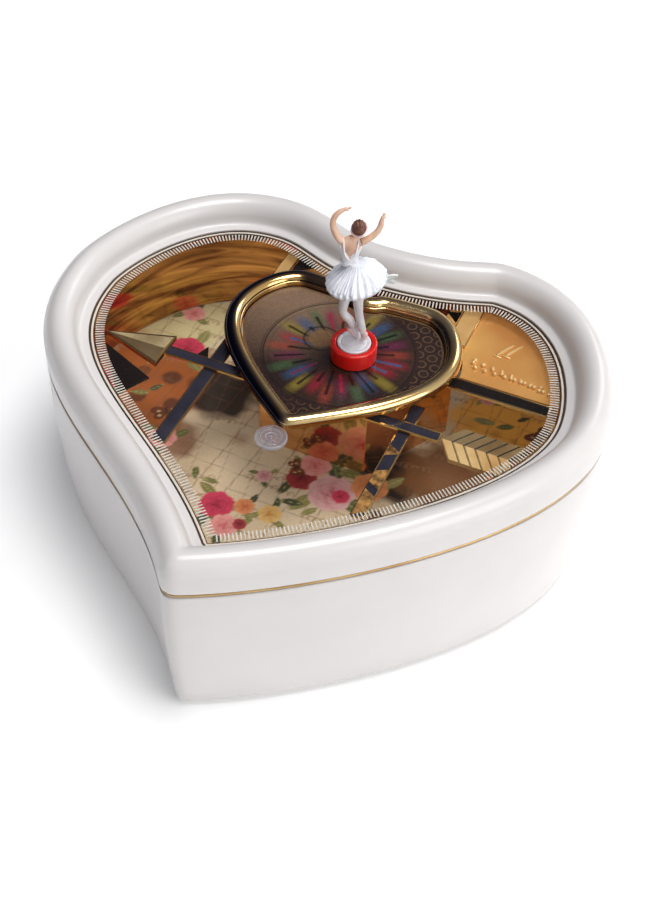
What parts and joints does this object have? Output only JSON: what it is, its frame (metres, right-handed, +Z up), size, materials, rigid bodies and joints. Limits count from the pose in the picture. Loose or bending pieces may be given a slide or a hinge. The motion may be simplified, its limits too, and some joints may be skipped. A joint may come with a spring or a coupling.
{
  "type": "ballerina jewellery box",
  "caption": "Heart-shaped musical jewellery box with a clear hinged lid, a gold ring stage and a dancer on a magnet that circles and twirls.",
  "frame": {"origin": "on the ground, under the middle of the closed box with its hinge", "axes": "+Z up, +Y toward the hinge at the notch of the heart, the front tip of the heart toward -Y, +X to the right"},
  "size_m": [0.1698, 0.1578, 0.1062],
  "materials": {
    "shell_white": "satin gloss white, moulded",
    "gold": "bright gold plate",
    "gold_mirror": "amber gold mirror foil",
    "clear": "clear acrylic, polished",
    "stage_film": "tinted acrylic with a printed rosette",
    "card_floral": "cream card printed with flowers",
    "board_white": "matte white board",
    "felt_black": "black moulded knob",
    "rubber": "dark rubber pad",
    "steel": "plain steel",
    "brass": "plain brass",
    "gear_white": "natural white gear plastic",
    "magnet_red": "glossy red paint",
    "dancer_white": "satin white paint",
    "skin": "painted skin tone"
  },
  "bodies": {
    "base": {"base_shell": "shell_white", "base_trim": "gold", "wall_liner": "gold_mirror", "inner_deck": "board_white", "floor_card": "card_floral", "bottom_board": "board_white", "foot_front": "rubber", "foot_right": "rubber", "foot_left": "rubber", "movement_housing": "gold_mirror", "hinge_leaf_base": "gold", "hinge_pin": "steel", "bedplate": "brass", "bed_screw_1": "steel", "bed_screw_2": "steel", "comb_block": "brass", "comb": "steel", "comb_screw_1": "steel", "comb_screw_2": "steel", "bearing_plate_left": "brass", "bearing_plate_right": "brass"},
    "lid": {"lid_frame": "shell_white", "window_panel": "clear", "clear_boss": "clear", "gold_ring": "gold", "stage_plate": "stage_film", "arrow_head": "gold", "arrow_shaft": "gold", "arrow_fletching": "gold", "spoke_left": "gold", "spoke_front": "gold", "spoke_right": "gold", "spoke_back_left": "gold", "spoke_back_right": "gold", "gold_field": "gold", "hinge_leaf_lid": "gold"},
    "key": {"winding_key": "brass", "winding_shaft": "steel"},
    "slider": {"stop_slider": "felt_black"},
    "drum": {"pinned_drum": "brass", "drum_pinion": "gear_white", "drum_gear": "gear_white"},
    "barrel": {"spring_barrel": "brass", "barrel_gear": "brass"},
    "wheel": {"governor_wheel": "gear_white", "wheel_pinion": "steel"},
    "fan": {"governor_fan": "steel"},
    "output": {"output_gear": "gear_white", "output_shaft": "steel", "magnet_arm": "gear_white", "drive_magnet": "steel"},
    "cup": {"magnet_cup": "magnet_red"},
    "dancer": {"cup_disc": "dancer_white", "dancer_legs": "dancer_white", "dancer_tutu": "dancer_white", "dancer_torso": "dancer_white", "dancer_head": "skin", "dancer_arm_left": "skin", "dancer_arm_right": "skin"}
  },
  "joints": [
    {"name": "lid_hinge", "type": "hinge", "parent": "base", "child": "lid", "pos_m": [0, 0.0769, 0.0463], "axis": [-1, 0, 0], "range_deg": [0, 100]},
    {"name": "key_wind", "type": "hinge", "parent": "base", "child": "key", "pos_m": [-0.00685, 0.02799, 0.01], "axis": [0, 0, 1], "continuous": true},
    {"name": "slider_travel", "type": "slide", "parent": "base", "child": "slider", "axis": [0, 1, 0], "range_m": [0, 0.0044]},
    {"name": "drum_spin", "type": "hinge", "parent": "base", "child": "drum", "pos_m": [0.0131, 0.02799, 0.0369], "axis": [1, 0, 0], "continuous": true},
    {"name": "barrel_spin", "type": "hinge", "parent": "base", "child": "barrel", "pos_m": [-0.00685, 0.02799, 0.026], "axis": [0, 0, 1], "continuous": true},
    {"name": "wheel_spin", "type": "hinge", "parent": "base", "child": "wheel", "pos_m": [0.0265, 0.03599, 0.0369], "axis": [1, 0, 0], "continuous": true},
    {"name": "fan_spin", "type": "hinge", "parent": "base", "child": "fan", "pos_m": [0.0265, 0.02914, 0.038], "axis": [0, 0, 1], "continuous": true},
    {"name": "output_spin", "type": "hinge", "parent": "base", "child": "output", "pos_m": [0.0038, 0.0197, 0.03], "axis": [0, 0, 1], "continuous": true},
    {"name": "cup_orbit", "type": "hinge", "parent": "lid", "child": "cup", "pos_m": [0.0038, 0.0197, 0.054], "axis": [0, 0, 1], "continuous": true},
    {"name": "dancer_twirl", "type": "hinge", "parent": "cup", "child": "dancer", "pos_m": [0.0081, 0.02, 0.054], "axis": [0, 0, 1], "continuous": true}
  ],
  "couplings": [
    {"joint": "barrel_spin", "follows": "drum_spin", "ratio": 0.5},
    {"joint": "output_spin", "follows": "drum_spin", "ratio": -1},
    {"joint": "wheel_spin", "follows": "drum_spin", "ratio": -3},
    {"joint": "fan_spin", "follows": "drum_spin", "ratio": -60},
    {"joint": "cup_orbit", "follows": "drum_spin", "ratio": -1},
    {"joint": "dancer_twirl", "follows": "drum_spin", "ratio": -2}
  ]
}
